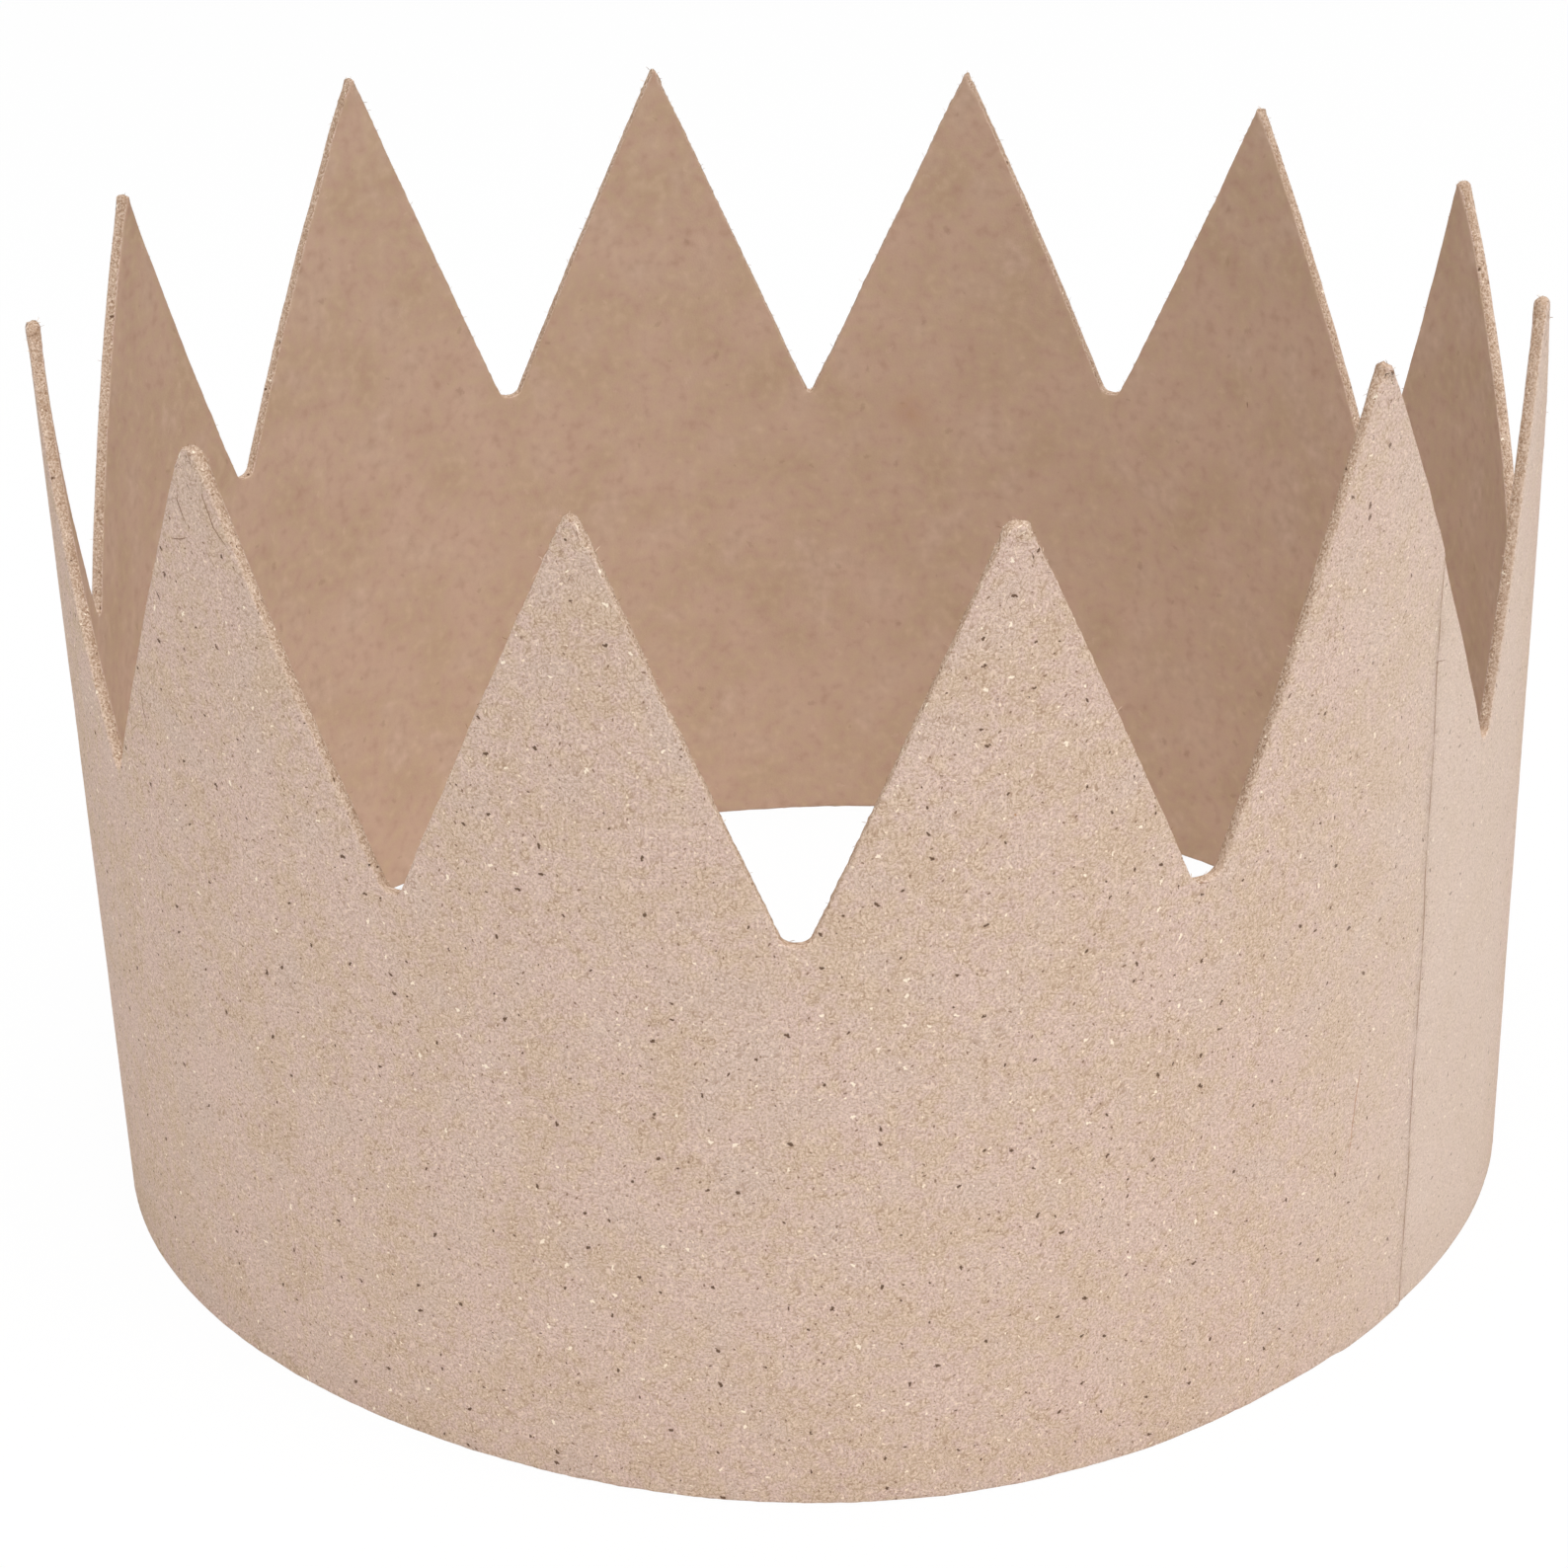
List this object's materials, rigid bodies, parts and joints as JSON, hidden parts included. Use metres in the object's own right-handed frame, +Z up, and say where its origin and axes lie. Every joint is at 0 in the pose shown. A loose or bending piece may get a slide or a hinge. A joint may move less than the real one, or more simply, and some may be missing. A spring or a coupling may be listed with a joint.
{
  "type": "paper crown",
  "caption": "Plain brown paper-board crown: one strip cut into a zig-zag of points and rolled into an open band that sits on a head.",
  "frame": {"origin": "centre of the band on the plane of its lower rim, where the crown stands", "axes": "+Z up through the points; -Y towards the front, where a notch faces the viewer; +X to the viewer's right"},
  "size_m": [0.1867, 0.1851, 0.127],
  "materials": {
    "kraft_board": "matt, fibrous recycled board, unprinted"
  },
  "bodies": {
    "root": {"crown_band": "kraft_board"}
  },
  "joints": []
}
